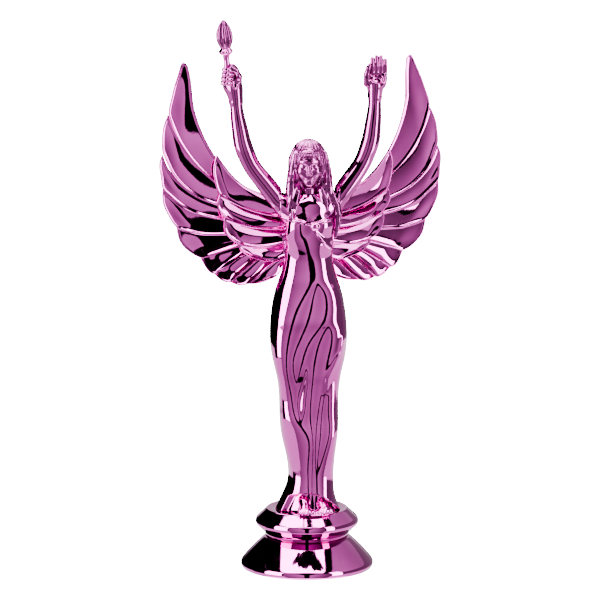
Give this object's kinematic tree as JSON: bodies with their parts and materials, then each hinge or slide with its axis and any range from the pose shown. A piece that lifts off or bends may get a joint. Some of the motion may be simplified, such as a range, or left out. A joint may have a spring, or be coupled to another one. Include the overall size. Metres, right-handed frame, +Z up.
{
  "type": "winged figure ornament",
  "caption": "Winged robed figure with a raised torch and a raised open hand, on a stepped round base that it turns on, fixed from below by a captive nut.",
  "frame": {"origin": "centre of the base ring, on the surface that the base stands on", "axes": "+Z up; the figure faces -Y; +X is the figure's own left, the side of its open hand"},
  "size_m": [0.0908, 0.0422, 0.178],
  "materials": {
    "magenta_chrome": "vacuum-metallised moulding under a clear pink-magenta lacquer, mirror gloss",
    "zinc_steel": "bright zinc plate, satin",
    "screw_steel": "plain plated steel, satin",
    "fibre": "dark red vulcanised fibre, matt"
  },
  "bodies": {
    "base": {"base_skirt": "magenta_chrome"},
    "figure": {"plinth": "magenta_chrome", "captive_nut": "zinc_steel", "retaining_plate": "zinc_steel", "plate_screws": "screw_steel", "friction_washer": "fibre", "body_screw": "screw_steel", "body_rear": "magenta_chrome", "body_front": "magenta_chrome", "feet": "magenta_chrome", "head": "magenta_chrome", "hair": "magenta_chrome", "left_arm": "magenta_chrome", "right_arm": "magenta_chrome", "torch_handle": "magenta_chrome", "torch_collar": "magenta_chrome", "torch_flame": "magenta_chrome", "left_wing": "magenta_chrome", "right_wing": "magenta_chrome"}
  },
  "joints": [
    {"name": "figure_swivel", "type": "hinge", "parent": "base", "child": "figure", "pos_m": [0, 0, 0.0092], "axis": [0, 0, 1], "continuous": true}
  ]
}
